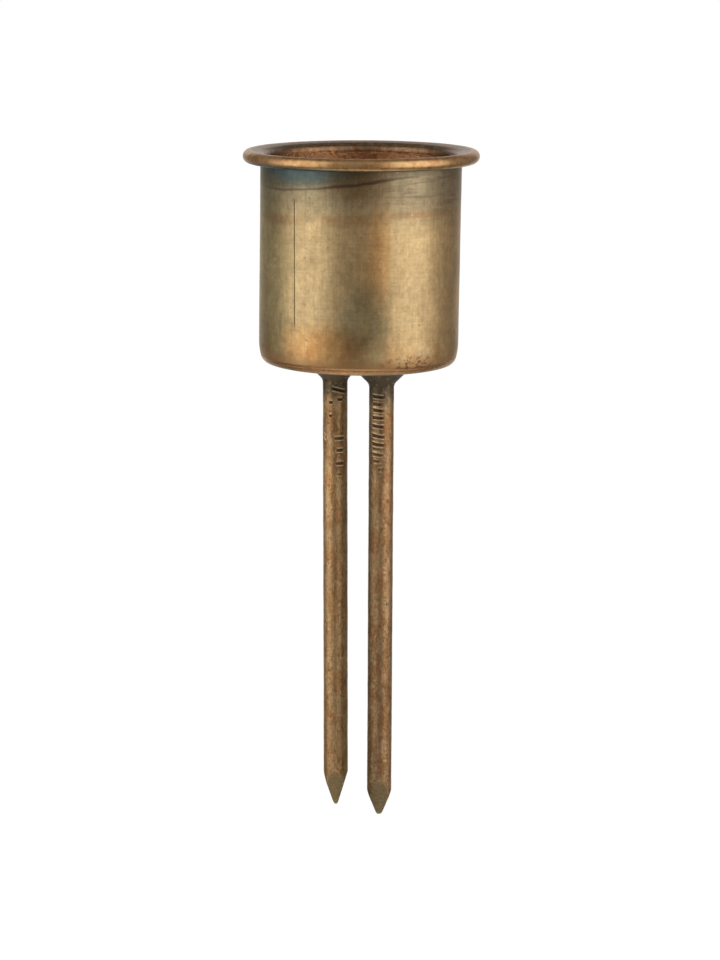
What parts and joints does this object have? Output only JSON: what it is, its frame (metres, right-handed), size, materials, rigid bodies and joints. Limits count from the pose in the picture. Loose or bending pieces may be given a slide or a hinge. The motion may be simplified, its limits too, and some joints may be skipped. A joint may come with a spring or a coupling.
{
  "type": "pricket candle holder",
  "caption": "Small metal candle cup with a rolled rim, brazed to a pair of pointed wire spikes that push into a wreath, foam or soil.",
  "frame": {"origin": "middle of the cup's underside, on the cup's axis", "axes": "+Z along the cup's axis towards its mouth; the two spikes stand side by side along X and point down, -Z"},
  "size_m": [0.0282, 0.0282, 0.0818],
  "materials": {
    "cup_brass": "drawn and brushed, patchy brown and olive tarnish",
    "spike_brass": "drawn wire, brown tarnish",
    "tarnished_braze": "dull, dark grey-green"
  },
  "bodies": {
    "root": {"cup": "cup_brass", "left_spike": "spike_brass", "right_spike": "spike_brass", "left_braze": "tarnished_braze", "right_braze": "tarnished_braze"}
  },
  "joints": []
}
